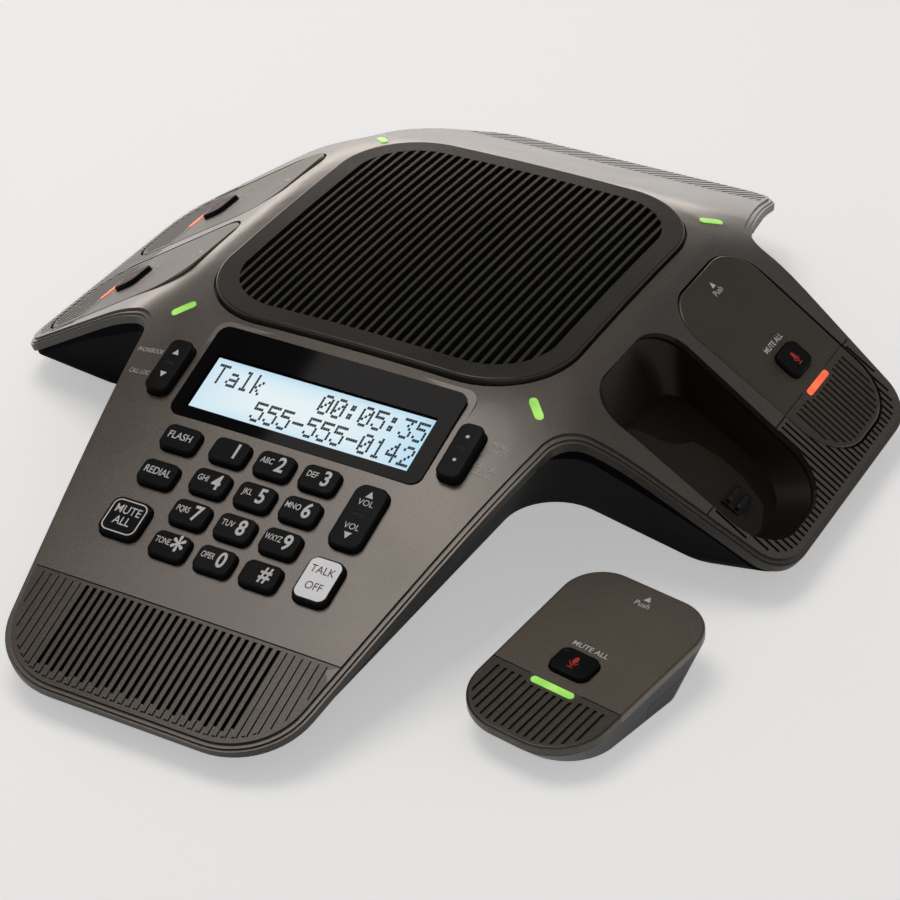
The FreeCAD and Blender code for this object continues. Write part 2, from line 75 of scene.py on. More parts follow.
frontSlope = {"y": -116.2, "z": 44.2, "tilt": 20}
looseMic = {"x": 109.0, "y": -137.0, "tall": 13.5, "turn": -9.4, "lean": 4.5}
frontArm = slopePlace(0, frontSlope["y"], frontSlope["z"], 0, frontSlope["tilt"])
rightArm = slopePlace(122.1, 0, 29.7, 90, 33.4)
leftArm = slopePlace(-122.1, 0, 29.7, -90, 33.4)
backArm = slopePlace(0, 115.0, 39.2, 180, 25.4)
looseTop = looseMic["tall"] * math.cos(math.radians(looseMic["lean"]))
looseSpot = slopePlace(looseMic["x"], looseMic["y"], looseTop, looseMic["turn"], looseMic["lean"])
bayMiddle = 28.6
emptyBay = movedAlong(rightArm, -bayMiddle)
micPlaces = {
    "mic_1": movedAlong(rightArm, bayMiddle),
    "mic_2": movedAlong(leftArm, bayMiddle),
    "mic_3": movedAlong(leftArm, -bayMiddle),
    "mic_4": looseSpot,
}

# Camera

cameraView = {"turn": 0.5177, "height": 0.603, "roll": -0.0244, "lens": 109.917, "sensor": 36.0,
              "target": (55.7158, -103.2399, 61.0), "distance": 837.5365, "near": 0.05, "far": 20.0}


def placeCamera(view):
    turn, height, roll = view["turn"], view["height"], view["roll"]
    level = math.cos(height)
    look = Vector((-math.sin(turn) * level, math.cos(turn) * level, -math.sin(height)))
    right = Vector((math.cos(turn), math.sin(turn), 0.0))
    up = right.cross(look)
    tippedRight = right * math.cos(roll) + up * math.sin(roll)
    tippedUp = up * math.cos(roll) - right * math.sin(roll)
    spot = Vector(view["target"]) * mm - look * view["distance"] * mm
    turnMatrix = Matrix((tippedRight, tippedUp, -look)).transposed()
    bpy.ops.object.camera_add(location=spot, rotation=turnMatrix.to_euler())
    scene.camera = bpy.context.object
    lens = scene.camera.data
    lens.lens, lens.sensor_width = view["lens"], view["sensor"]
    lens.clip_start, lens.clip_end = view["near"], view["far"]


placeCamera(cameraView)
print("Camera placed")

# Shared surface effects


def addNode(tree, kind, **values):
    node = tree.nodes.new("ShaderNode" + kind)
    for name, value in values.items():
        setattr(node, name, value)
    return node


def feed(tree, node, values):
    # Gives a node's inputs, by name or number, a number, a colour or another node's output.
    for key, value in values.items():
        if isinstance(value, (int, float)):
            node.inputs[key].default_value = value
        elif isinstance(value, (tuple, list)):
            node.inputs[key].default_value = (*value[:3], 1.0)
        else:
            tree.links.new(value, node.inputs[key])
    return node.outputs


def doMath(tree, operation, *values, clamp=False):
    node = addNode(tree, "Math", operation=operation, use_clamp=clamp)
    return feed(tree, node, dict(enumerate(values)))[0]


def times(tree, *values, clamp=False):
    return doMath(tree, "MULTIPLY", *values, clamp=clamp)


def timesAdd(tree, *values, clamp=False):
    return doMath(tree, "MULTIPLY_ADD", *values, clamp=clamp)


def minus(tree, *values):
    return doMath(tree, "SUBTRACT", *values)


def blendColour(tree, factor, first, second):
    node = addNode(tree, "Mix", data_type="RGBA", clamp_factor=True)
    return feed(tree, node, {0: factor, 6: first, 7: second})[2]


def objectPoint(tree):
    return addNode(tree, "TexCoord").outputs["Object"]


def axesOf(tree, vector):
    return feed(tree, addNode(tree, "SeparateXYZ"), {0: vector})


def noise(tree, point, scale, detail=2.0, rough=0.5):
    node = addNode(tree, "TexNoise", noise_dimensions="3D")
    return feed(tree, node, {"Vector": point, "Scale": scale, "Detail": detail, "Roughness": rough})["Fac"]


def stretchedNoise(tree, point, stretch, turn, detail, rough):
    mapping = addNode(tree, "Mapping")
    mapping.inputs["Rotation"].default_value = (0.0, 0.0, turn)
    mapping.inputs["Scale"].default_value = stretch
    return noise(tree, feed(tree, mapping, {"Vector": point})[0], 1.0, detail, rough)


def ramp(tree, value, low, high):
    node = addNode(tree, "MapRange", clamp=True)
    return feed(tree, node, {"Value": value, "From Min": low, "From Max": high})["Result"]


def newGroup(name, inputs, outputs):
    # Every input comes with its first value, and the output Color is the only one that isn't a number.
    group = bpy.data.node_groups.new(name, "ShaderNodeTree")
    for label, value in inputs.items():
        kind = "NodeSocketColor" if isinstance(value, tuple) else "NodeSocketFloat"
        group.interface.new_socket(name=label, in_out="INPUT", socket_type=kind).default_value = value
    for label in outputs:
        kind = "NodeSocketColor" if label == "Color" else "NodeSocketFloat"
        group.interface.new_socket(name=label, in_out="OUTPUT", socket_type=kind)
    source = group.nodes.new("NodeGroupInput")
    return group, source.outputs, group.nodes.new("NodeGroupOutput")


darkGrey = (0.1, 0.1, 0.1, 1)
paleGrey = (0.3, 0.3, 0.3, 1)


def makeGrain(slowScale=28.0, flecks=(0.5, 0.78), pits=(0.5, 0.25), pitShade=0.7, tone=(0.3, 0.85),
              roughShare=0.3, smudgeShare=0.22):
    # Fine flecks in a paint or a moulded surface, with a slow change of tone.
    group, source, result = newGroup(
        "fineGrain", {"Base": darkGrey, "Fleck": paleGrey, "Scale": 2400.0, "Strength": 0.4, "Rough": 0.4},
        ("Color", "Roughness", "Height"))
    point = objectPoint(group)
    fine = noise(group, point, source["Scale"], 3.0, 0.7)
    slow = noise(group, point, slowScale, 3.0, 0.55)
    fleck = times(group, ramp(group, fine, *flecks), source["Strength"])
    tinted = blendColour(group, fleck, source["Base"], source["Fleck"])
    dark = times(group, ramp(group, fine, *pits), source["Strength"])
    shaded = blendColour(group, times(group, dark, pitShade), tinted, (0.0, 0.0, 0.0))
    scale = addNode(group, "VectorMath", operation="SCALE")
    scaled = feed(group, scale, {0: shaded, "Scale": timesAdd(group, slow, *tone)})
    change = timesAdd(group, minus(group, fine, 0.5), roughShare, source["Rough"])
    smudge = timesAdd(group, minus(group, slow, 0.5), smudgeShare, change, clamp=True)
    feed(group, result, {"Color": scaled[0], "Roughness": smudge, "Height": fine})
    return group


def makeDust(specks=(900.0, 0.70, 0.76, 0.5), film=(45.0, 0.45, 0.85, 0.3), upward=(0.2, 1.0)):
    # Sparse pale specks and a faint film on faces that look up: their scale, range and share.
    group, source, result = newGroup(
        "restingDust", {"Color": darkGrey, "Dust": (0.3, 0.29, 0.27, 1), "Amount": 0.2}, ("Color", "Mask"))
    point = objectPoint(group)
    normal = addNode(group, "NewGeometry").outputs["Normal"]
    facing = ramp(group, axesOf(group, normal)["Z"], *upward)
    speck = ramp(group, noise(group, point, specks[0], 1.0), *specks[1:3])
    thin = ramp(group, noise(group, point, film[0], 4.0, 0.6), *film[1:3])
    both = timesAdd(group, thin, film[3], times(group, speck, specks[3]))
    mask = times(group, times(group, both, facing), source["Amount"], clamp=True)
    feed(group, result, {"Color": blendColour(group, mask, source["Color"], source["Dust"]), "Mask": mask})
    return group


def makeScuff(lines=((0.5, (14.0, 520.0, 60.0)), (-0.9, (520.0, 18.0, 60.0))), kept=(0.68, 0.8),
              patches=(22.0, 0.45, 0.7), roughShare=0.25):
    # Long faint scratches that shift colour and roughness a little.
    group, source, result = newGroup(
        "lightScuff", {"Color": darkGrey, "Bright": paleGrey, "Amount": 0.2, "Rough": 0.4},
        ("Color", "Roughness", "Mask"))
    point = objectPoint(group)
    masks = [ramp(group, stretchedNoise(group, point, stretch, turn, 3.0, 0.6), *kept)
             for turn, stretch in lines]
    where = ramp(group, noise(group, point, patches[0], 2.0), *patches[1:])
    both = times(group, doMath(group, "MAXIMUM", *masks), where)
    mask = times(group, both, source["Amount"], clamp=True)
    feed(group, result, {"Color": blendColour(group, mask, source["Color"], source["Bright"]), "Mask": mask,
                         "Roughness": timesAdd(group, mask, roughShare, source["Rough"], clamp=True)})
    return group


def makeWeave():
    # Two crossing threads of speaker cloth.
    group, source, result = newGroup(
        "clothWeave", {"Thread": (0.02, 0.02, 0.02, 1), "Gap": (0.0, 0.0, 0.0, 1), "Scale": 800.0},
        ("Color", "Height"))
    point = axesOf(group, objectPoint(group))
    waves = [doMath(group, "ABSOLUTE", doMath(group, "SINE", times(group, point[axis], source["Scale"])))
             for axis in "XY"]
    height = times(group, *waves)
    feed(group, result, {"Color": blendColour(group, height, source["Gap"], source["Thread"]),
                         "Height": height})
    return group


def makeBrushed(stretch=(300.0, 300.0, 4200.0), stains=(160.0, 0.4, 0.8), lineShare=0.5, stainShare=0.35,
                roughShare=0.25):
    # Turned or drawn metal: fine lines across one direction.
    group, source, result = newGroup(
        "drawnMetal", {"Base": (0.5, 0.5, 0.5, 1), "Dark": (0.2, 0.2, 0.2, 1), "Rough": 0.3},
        ("Color", "Roughness", "Height"))
    point = objectPoint(group)
    lines = stretchedNoise(group, point, stretch, 0.0, 4.0, 0.7)
    stain = ramp(group, noise(group, point, stains[0], 3.0), *stains[1:])
    factor = timesAdd(group, lines, lineShare, times(group, stain, stainShare), clamp=True)
    feed(group, result, {"Color": blendColour(group, factor, source["Base"], source["Dark"]), "Height": lines,
                         "Roughness": timesAdd(group, lines, roughShare, source["Rough"])})
    return group


def makeGlow(rims=(0.3, 0.7)):
    # Light that is uneven inside a part, a little dimmer in some places.
    group, source, result = newGroup(
        "softGlow", {"Core": (1, 1, 1, 1), "Rim": (0.5, 0.5, 0.5, 1), "Scale": 60.0}, ("Color",))
    slow = noise(group, objectPoint(group), source["Scale"], 1.0, 0.4)
    shade = ramp(group, slow, *rims)
    feed(group, result, {"Color": blendColour(group, shade, source["Rim"], source["Core"])})
    return group


groups = {"grain": makeGrain(), "dust": makeDust(), "scuff": makeScuff(), "weave": makeWeave(),
          "brushed": makeBrushed(), "glow": makeGlow()}
print("Shader groups built:", ", ".join(sorted(groups)))

# Finishes


def newMaterial(name):
    material = bpy.data.materials.new(name)
    material.use_nodes = True
    tree = material.node_tree
    tree.nodes.clear()
    shader = addNode(tree, "BsdfPrincipled")
    feed(tree, addNode(tree, "OutputMaterial"), {"Surface": shader.outputs[0]})
    return material, tree, shader


def addGroup(tree, name, **values):
    return feed(tree, addNode(tree, "Group", node_tree=groups[name]), values)


def addGrain(tree, base, fleck, scale, strength, rough):
    return addGroup(tree, "grain", Base=base, Fleck=fleck, Scale=scale, Strength=strength, Rough=rough)


def addBump(tree, shader, height, strength, depth):
    bump = feed(tree, addNode(tree, "Bump"), {"Strength": strength, "Distance": depth, "Height": height})
    feed(tree, shader, {"Normal": bump[0]})


def plasticFinish(name, base, fleck, scale=2400.0, strength=0.4, rough=0.4, metallic=0.0, coat=0.0,
                  coatRough=0.2, bump=0.25, depth=0.00004, dust=0.15, scuff=0.15, specular=0.5, glow=0.0):
    material, tree, shader = newMaterial(name)
    grain = addGrain(tree, base, fleck, scale, strength, rough)
    worn = addGroup(tree, "scuff", Color=grain["Color"], Bright=fleck, Amount=scuff,
                    Rough=grain["Roughness"])
    dusty = addGroup(tree, "dust", Color=worn["Color"], Amount=dust)
    feed(tree, shader, {"Base Color": dusty["Color"], "Roughness": worn["Roughness"], "Metallic": metallic,
                        "Coat Weight": coat, "Coat Roughness": coatRough, "Specular IOR Level": specular})
    # A glow of the surface's own colour, for a part that is no lamp: painted light.
    if glow:
        feed(tree, shader, {"Emission Color": grain["Color"], "Emission Strength": glow})
    addBump(tree, shader, grain["Height"], bump, depth)
    return material


def metalFinish(name, base, dark, rough=0.3, bump=0.15, depth=0.00003, scuff=0.3):
    material, tree, shader = newMaterial(name)
    drawn = addGroup(tree, "brushed", Base=base, Dark=dark, Rough=rough)
    worn = addGroup(tree, "scuff", Color=drawn["Color"], Bright=base, Amount=scuff,
                    Rough=drawn["Roughness"])
    feed(tree, shader, {"Base Color": worn["Color"], "Roughness": worn["Roughness"], "Metallic": 1.0})
    addBump(tree, shader, drawn["Height"], bump, depth)
    return material


def lampFinish(name, core, rim, strength, scale=120.0, dimming=0.75, unlit=(0.02, 0.02, 0.02)):
    material, tree, shader = newMaterial(name)
    glow = addGroup(tree, "glow", Core=core, Rim=rim, Scale=scale)
    grain = addGrain(tree, rim, core, 1500.0, 0.2, 0.3)
    feed(tree, shader, {"Base Color": blendColour(tree, dimming, grain["Color"], unlit),
                        "Roughness": grain["Roughness"], "Emission Color": glow["Color"],
                        "Emission Strength": strength})
    return material


def printFinish(name, base, rough=0.55, scale=5200.0, thinned=0.72, specular=0.3, bump=0.1, depth=0.00002):
    # Ink that lies thinly on the grain below it.
    material, tree, shader = newMaterial(name)
    thin = tuple(value * thinned for value in base)
    grain = addGrain(tree, base, thin, scale, 0.5, rough)
    feed(tree, shader, {"Base Color": grain["Color"], "Roughness": grain["Roughness"],
                        "Specular IOR Level": specular})
    addBump(tree, shader, grain["Height"], bump, depth)
    return material


def looseLitAndShadedFinish(name, look, place):
    # The loose microphone's paint: lighter than the docked microphones' above the seam, which is painted
    # light, and darker on the ribs below it, which is painted shade.
    material, tree, shader = newMaterial(name)
    upSlope = place.to_3x3() @ Vector((0.0, 1.0, 0.0))
    along = addNode(tree, "VectorMath", operation="DOT_PRODUCT")
    along.inputs[1].default_value = upSlope
    height = feed(tree, along, {0: objectPoint(tree)})["Value"]
    start = place.translation.dot(upSlope) + look["seam"] * mm
    blur = look["seamBlur"] * mm
    base = blendColour(tree, ramp(tree, height, start - blur, start + blur), look["ribShadeBase"], look["base"])
    grain = addGrain(tree, base, look["fleck"], look["scale"], look["strength"], look["rough"])
    dusty = addGroup(tree, "dust", Color=grain["Color"], Amount=0.1)
    feed(tree, shader, {"Base Color": dusty["Color"], "Roughness": grain["Roughness"],
                        "Metallic": look["metallic"], "Coat Weight": look["coat"],
                        "Coat Roughness": look["coatRough"]})
    addBump(tree, shader, grain["Height"], look["bump"], 0.00004)
    return material


def windowFinish(look):
    # Gloss black from behind, clear over the lit field, which is given on the front slope in millimetres.
    material, tree, shader = newMaterial("windowGloss")
    point = axesOf(tree, objectPoint(tree))
    rise = math.radians(frontSlope["tilt"])
    along = times(tree, minus(tree, point["Y"], frontSlope["y"] * mm), math.cos(rise))
    lift = times(tree, minus(tree, point["Z"], frontSlope["z"] * mm), math.sin(rise))
    slopeY = doMath(tree, "ADD", along, lift)
    past = [minus(tree, doMath(tree, "ABSOLUTE", minus(tree, value, look[middle] * mm)), look[half] * mm)
            for value, middle, half in ((point["X"], "x", "halfWide"), (slopeY, "y", "halfDeep"))]
    solid = ramp(tree, doMath(tree, "MAXIMUM", *past), -look["blur"] * mm, look["blur"] * mm)
    alpha = timesAdd(tree, solid, 1.0 - look["tint"], look["tint"], clamp=True)
    grain = addGrain(tree, look["base"], look["fleck"], 900.0, 0.2, 0.07)
    worn = addGroup(tree, "scuff", Color=grain["Color"], Bright=look["bright"], Amount=0.06, Rough=0.05)
    feed(tree, shader, {"Base Color": worn["Color"], "Roughness": worn["Roughness"], "Alpha": alpha,
                        "Specular IOR Level": look["specular"]})
    return material


def screenFinish(look):
    # Backlit field: cool at the rim, nearly white where the light comes in.
    material, tree, shader = newMaterial("screenLight")
    uv = axesOf(tree, addNode(tree, "TexCoord").outputs["UV"])
    away = [times(tree, doMath(tree, "ABSOLUTE", minus(tree, uv[axis], middle)), look["reach"])
            for axis, middle in look["middle"].items()]
    fade = doMath(tree, "POWER", doMath(tree, "MAXIMUM", *away), look["power"], clamp=True)
    grain = addGrain(tree, look["base"], look["fleck"], 3000.0, 0.2, 0.5)
    feed(tree, shader, {"Base Color": grain["Color"], "Roughness": grain["Roughness"],
                        "Emission Color": blendColour(tree, fade, look["core"], look["rim"]),
                        "Emission Strength": look["glow"]})
    return material


def clothFinish(thread, gap, dust):
    material, tree, shader = newMaterial("speakerCloth")
    weave = addGroup(tree, "weave", Thread=thread, Gap=gap, Scale=2600.0)
    dusty = addGroup(tree, "dust", Color=weave["Color"], Dust=dust, Amount=0.2)
    feed(tree, shader, {"Base Color": dusty["Color"], "Roughness": 0.9})
    addBump(tree, shader, weave["Height"], 0.6, 0.0001)
    return material


coverLook = {"base": (0.142, 0.121, 0.104), "fleck": (0.34, 0.31, 0.28), "scale": 2300.0, "strength": 0.42,
             "rough": 0.42, "metallic": 0.62, "coat": 0.75, "coatRough": 0.24, "bump": 0.22}
# Darker rib tops on the front arm: painted shade, for the shade among the ribs.
ribShadeLook = dict(coverLook, base=(0.082, 0.07, 0.059), coat=0.4)
# Darker upright rim walls: painted shade, on a dark copy of the cover paint.
rimShadeLook = dict(coverLook, base=(0.05, 0.044, 0.038), fleck=(0.14, 0.13, 0.12), coat=0.1, rough=0.5)
micLook = {"base": (0.102, 0.087, 0.072), "fleck": (0.30, 0.27, 0.24), "scale": 2300.0, "strength": 0.38,
           "rough": 0.44, "metallic": 0.58, "coat": 0.25, "coatRough": 0.34, "bump": 0.22}
# Lighter than micLook above the seam: painted light. Darker on the ribs below: painted shade.
looseLitAndShadedLook = dict(micLook, base=(0.155, 0.132, 0.106), ribShadeBase=(0.072, 0.062, 0.05),
                 fleck=(0.30, 0.27, 0.23), seam=0.3, seamBlur=0.1)
housingLook = {"base": (0.0048, 0.0056, 0.0074), "fleck": (0.014, 0.016, 0.019), "scale": 1500.0,
               "strength": 0.4, "rough": 0.52, "bump": 0.3, "specular": 0.008}
keyLook = {"base": (0.0075, 0.0076, 0.009), "fleck": (0.026, 0.026, 0.03), "scale": 1800.0,
           "strength": 0.35, "rough": 0.36, "bump": 0.2, "specular": 0.07}
windowLook = {"x": -0.5, "y": 24.0, "halfWide": 40.9, "halfDeep": 10.9, "blur": 0.02, "tint": 0.04,
              "base": (0.004, 0.004, 0.005), "fleck": (0.012, 0.012, 0.013), "bright": (0.05, 0.05, 0.05),
              "specular": 0.08}
screenLook = {"middle": {"X": 0.42, "Y": 0.5}, "reach": 1.5, "power": 2.2, "core": (0.86, 0.96, 1.0),
              "rim": (0.36, 0.7, 0.93), "glow": 0.95, "base": (0.03, 0.05, 0.06),
              "fleck": (0.05, 0.07, 0.08)}

finishes = {
    "cover": plasticFinish("coverPaint", **coverLook),
    "ribShade": plasticFinish("ribShadePaint", **ribShadeLook),
    "rim": plasticFinish("rimShadePaint", **rimShadeLook),
    "micCover": plasticFinish("micPaint", **micLook),
    "looseCover": looseLitAndShadedFinish("looseLitAndShadedPaint", looseLitAndShadedLook, looseSpot),
    "grille": plasticFinish("grillePaint", (0.047, 0.042, 0.037), (0.11, 0.10, 0.09), 1900.0, 0.35, 0.34,
                            metallic=0.45, dust=0.2, specular=0.3, coat=0.25),
    "housing": plasticFinish("housingPlastic", **housingLook),
    "micCase": plasticFinish("casePlastic", (0.018, 0.0195, 0.022), (0.05, 0.052, 0.056), 1600.0, 0.35,
                             0.40, specular=0.3),
    "bay": plasticFinish("bayPlastic", (0.013, 0.0098, 0.007), (0.03, 0.026, 0.022), 1200.0, 0.3, 0.36,
                         scuff=0.35, dust=0.05, specular=0.18),
    # A lighter copy of the bay's plastic: painted light on the ledge, against the shaded floor beyond it.
    "ledge": plasticFinish("ledgeLitPlastic", (0.03, 0.024, 0.018), (0.05, 0.042, 0.034), 1200.0, 0.3, 0.36,
                           scuff=0.35, dust=0.05, specular=0.25),
    "key": plasticFinish("keyRubber", **keyLook),
    # The pale cap glows a little, though it is no lamp: painted light.
    "talk": plasticFinish("talkCap", (0.86, 0.86, 0.87), (0.92, 0.92, 0.92), 2600.0, 0.3, 0.45, dust=0.05,
                          glow=0.22),
    "lcdBody": plasticFinish("displayFrame", (0.02, 0.02, 0.022), (0.05, 0.05, 0.05), 900.0, 0.3, 0.5),
    "mat": plasticFinish("matRubber", (0.09, 0.09, 0.095), (0.2, 0.2, 0.2), 1100.0, 0.3, 0.7),
    "foot": plasticFinish("footRubber", (0.016, 0.016, 0.017), (0.05, 0.05, 0.05), 700.0, 0.5, 0.8, bump=0.5,
                          dust=0.4),
    "board": plasticFinish("circuitBoard", (0.012, 0.075, 0.028), (0.09, 0.20, 0.10), 600.0, 0.5, 0.35,
                           coat=0.4),
    "cone": plasticFinish("coneNeedle", (0.022, 0.021, 0.020), (0.07, 0.066, 0.06), 420.0, 0.6, 0.85,
                          bump=0.6, depth=0.0002),
    "jack": plasticFinish("jackPlastic", (0.012, 0.012, 0.013), (0.04, 0.04, 0.04), 1500.0, 0.3, 0.4),
    # Nearly black groove walls and recess marks: the slots in the middle of the front arm open onto black,
    # and elsewhere the black is painted shade.
    "recessShade": plasticFinish("grooveShade", (0.005, 0.0045, 0.004), (0.012, 0.011, 0.010), 1500.0, 0.3, 0.7),
    "steel": metalFinish("driverSteel", (0.42, 0.42, 0.43), (0.16, 0.16, 0.17), 0.32),
    "screw": metalFinish("screwSteel", (0.30, 0.30, 0.31), (0.10, 0.10, 0.11), 0.34),
    "capsule": metalFinish("capsuleMetal", (0.55, 0.55, 0.56), (0.25, 0.25, 0.25), 0.3),
    "contactBlock": plasticFinish("contactBlock", (0.0085, 0.0075, 0.0065), (0.03, 0.028, 0.025), 1500.0,
                                  0.3, 0.32),
    "lampGreen": lampFinish("lampGreen", (0.42, 0.80, 0.16), (0.22, 0.58, 0.08), 1.0),
    "lampRed": lampFinish("lampRed", (1.0, 0.20, 0.07), (0.72, 0.10, 0.04), 1.05),
    "ink": printFinish("legendInk", (0.93, 0.93, 0.92)),
    "paleInk": printFinish("coverInk", (0.80, 0.78, 0.76)),
    "darkInk": printFinish("capInk", (0.035, 0.035, 0.04)),
    "redInk": printFinish("micIconInk", (0.74, 0.05, 0.04)),
    "pixel": printFinish("screenPixel", (0.012, 0.014, 0.018)),
    "window": windowFinish(windowLook),
    "screen": screenFinish(screenLook),
    "cloth": clothFinish((0.01, 0.01, 0.01), (0.001, 0.001, 0.001), (0.05, 0.05, 0.05)),
}

nodeFinishes = {
    "top_cover": "cover", "bottom_housing": "housing", "speaker_grille": "grille", "speaker_driver": "steel",
    "speaker_cone": "cone", "display_window": "window", "lcd_module": "lcdBody", "keypad_mat": "mat",
    "main_board": "board", "charge_contacts": "contactBlock", "status_lights": "lampGreen",
    "base_microphones": "capsule", "housing_screws": "screw", "rubber_feet": "foot", "cable_jacks": "jack",
    "right_mic_bays": "bay", "left_mic_bays": "bay", "mic_4_cover": "looseCover",
    "mic_4_light_bar": "lampGreen",
}
micFinishes = {"cover": "micCover", "case": "micCase", "battery_door": "micCase", "mute_button": "key",
               "board_and_battery": "board", "light_bar": "lampRed"}


def finishOf(node):
    if node.startswith(("key_", "rocker_")):
        return "key"
    return nodeFinishes.get(node) or micFinishes[node.split("_", 2)[2]]


for nodeName, nodeObject in nodes.items():
    material = finishes[finishOf(nodeName)]
    for slot in nodeObject.material_slots:
        slot.material = material
    if not nodeObject.material_slots:
        nodeObject.data.materials.append(material)
print("Finishes set on", len(nodes), "nodes")

# Steps that every new piece goes through


def objectMode():
    bpy.ops.object.mode_set(mode="OBJECT")


def editAll():
    # Opens the active piece with its whole mesh selected.
    bpy.ops.object.mode_set(mode="EDIT")
    bpy.ops.mesh.select_all(action="SELECT")


def startFresh():
    if bpy.context.object and bpy.context.object.mode != "OBJECT":
        objectMode()
    bpy.ops.object.select_all(action="DESELECT")


def keepOnly(piece):
    startFresh()
    piece.select_set(True)
    bpy.context.view_layer.objects.active = piece


def finishPiece(piece, name, place, finish, body):
    # Puts the place into the mesh, gives the finish and says what the piece rides on.
    piece.name = name
    piece.data.name = name
    piece.data.transform(place @ piece.matrix_world)
    piece.matrix_world = Matrix.Identity(4)
    piece.data.materials.clear()
    piece.data.materials.append(finishes[finish])
    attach(piece, body)


def pickFaces(piece, test):
    # Opens the piece with just the faces that pass the test selected.
    objectMode()
    scene.tool_settings.mesh_select_mode = (False, False, True)
    for item in (*piece.data.vertices, *piece.data.edges, *piece.data.polygons):
        item.select = False
    for face in piece.data.polygons:
        face.select = bool(test(face))
    bpy.ops.object.mode_set(mode="EDIT")


def addOutline(corners):
    # A disc of as many corners as given, moved to them.
    startFresh()
    bpy.ops.mesh.primitive_circle_add(vertices=len(corners), radius=mm, fill_type="NGON")
    piece = bpy.context.object
    for vertex, (x, y) in zip(piece.data.vertices, corners):
        vertex.co = (x * mm, y * mm, 0.0)
    return piece


def roundCorners(rounding, steps=6):
    editAll()
    bpy.ops.mesh.bevel(offset=rounding * mm, segments=steps, affect="VERTICES")


def mendNormals():
    editAll()
    bpy.ops.mesh.normals_make_consistent(inside=False)
    objectMode()


def faceUp(piece):
    # Makes a flat piece look out of its slope.
    mendNormals()
    if sum(face.normal.z for face in piece.data.polygons) < 0:
        piece.data.flip_normals()


def raisePad(look):
    # Rounds a flat face's corners and makes it a low pad with a sloping rim.
    roundCorners(look["round"], look["steps"])
    editAll()
    bpy.ops.mesh.extrude_region_move(TRANSFORM_OT_translate={"value": (0, 0, look["wall"] * mm)})
    bpy.ops.mesh.inset(thickness=look["inset"] * mm)
    bpy.ops.transform.translate(value=(0, 0, look["crown"] * mm))
    mendNormals()


lettering = {"capShare": 0.73, "curve": 4, "lineSpace": 0.95, "coverLift": 0.10}


def label(name, words, place, height, finish, body, wide=0.8, heavy=0.0, onto=None):
    # Flat letters. Where a curved surface is given, they drop onto it.
    startFresh()
    bpy.ops.object.text_add(location=(0, 0, 0))
    piece = bpy.context.object
    text = piece.data
    text.body = words
    text.size = height / lettering["capShare"] * mm
    text.align_x = text.align_y = "CENTER"
    text.offset = heavy * mm
    text.resolution_u = lettering["curve"]
    text.space_line = lettering["lineSpace"]
    keepOnly(piece)
    bpy.ops.object.convert(target="MESH")
    piece = bpy.context.object
    piece.matrix_world = place @ Matrix.Diagonal((wide, 1.0, 1.0, 1.0))
    if onto:
        bpy.context.view_layer.update()
        drop = piece.modifiers.new("drop", "SHRINKWRAP")
        drop.target = onto
        drop.wrap_method = "PROJECT"
        drop.use_project_z = drop.use_negative_direction = True
        drop.offset = lettering["coverLift"] * mm
        bpy.ops.object.modifier_apply(modifier=drop.name)
    finishPiece(piece, name, Matrix.Identity(4), finish, body)


def flatShape(name, corners, place, finish, body, rounding=0.0, line=0.0):
    # A printed shape, with rounded corners if wanted. With a line's width only its outline stays.
    piece = addOutline(corners)
    if rounding:
        roundCorners(rounding)
    if line:
        editAll()
        bpy.ops.mesh.inset(thickness=line * mm)
        bpy.ops.mesh.delete(type="FACE")
    faceUp(piece)
    finishPiece(piece, name, place, finish, body)


def boxCorners(wide, deep):
    w, d = wide / 2, deep / 2
    return [(-w, -d), (w, -d), (w, d), (-w, d)]


def triangleCorners(size, up=True, tall=0.46):
    w, h = size / 2, size * tall
    return [(-w, -h), (w, -h), (0, h)] if up else [(-w, h), (0, -h), (w, h)]


def ovalCorners(wide, tall, halfTurn, count, start=0.0, up=0.0):
    # So many corners of an oval that has halfTurn steps to half a turn.
    angles = [start + i * math.pi / halfTurn for i in range(count)]
    return [(wide * math.cos(angle), up + tall * math.sin(angle)) for angle in angles]


# Key legends

keyPrint = {"top": 2.2, "lift": 0.05, "digitHeight": 5.7, "digitAcross": 2.4, "digitUp": 0.3,
            "digitHeavy": 0.2, "letterHeight": 2.3, "letterAcross": -2.7, "letterUp": 0.75, "heavy": 0.03,
            "fewWide": 0.74, "manyWide": 0.62, "columns": 16.5, "rows": 12.75}
digitKeys = [("1", "", "1"), ("2", "ABC", "2"), ("3", "DEF", "3"), ("4", "GHI", "4"), ("5", "JKL", "5"),
             ("6", "MNO", "6"), ("7", "PQRS", "7"), ("8", "TUV", "8"), ("9", "WXYZ", "9"),
             ("star", "TONE", "*"), ("0", "OPER", "0"), ("pound", "", "#")]
# How far two signs are shifted, and their height
shiftedSigns = {"*": (0.2, -1.6, 9.6), "#": (-0.6, 0.2, 5.7)}
wordKeys = [("flash", "FLASH", -34.8, -0.3, 2.8, 0.82), ("redial", "REDIAL", -34.8, -14.8, 2.8, 0.78),
            ("mute_all", "MUTE\nALL", -35.8, -33.5, 3.2, 0.84)]


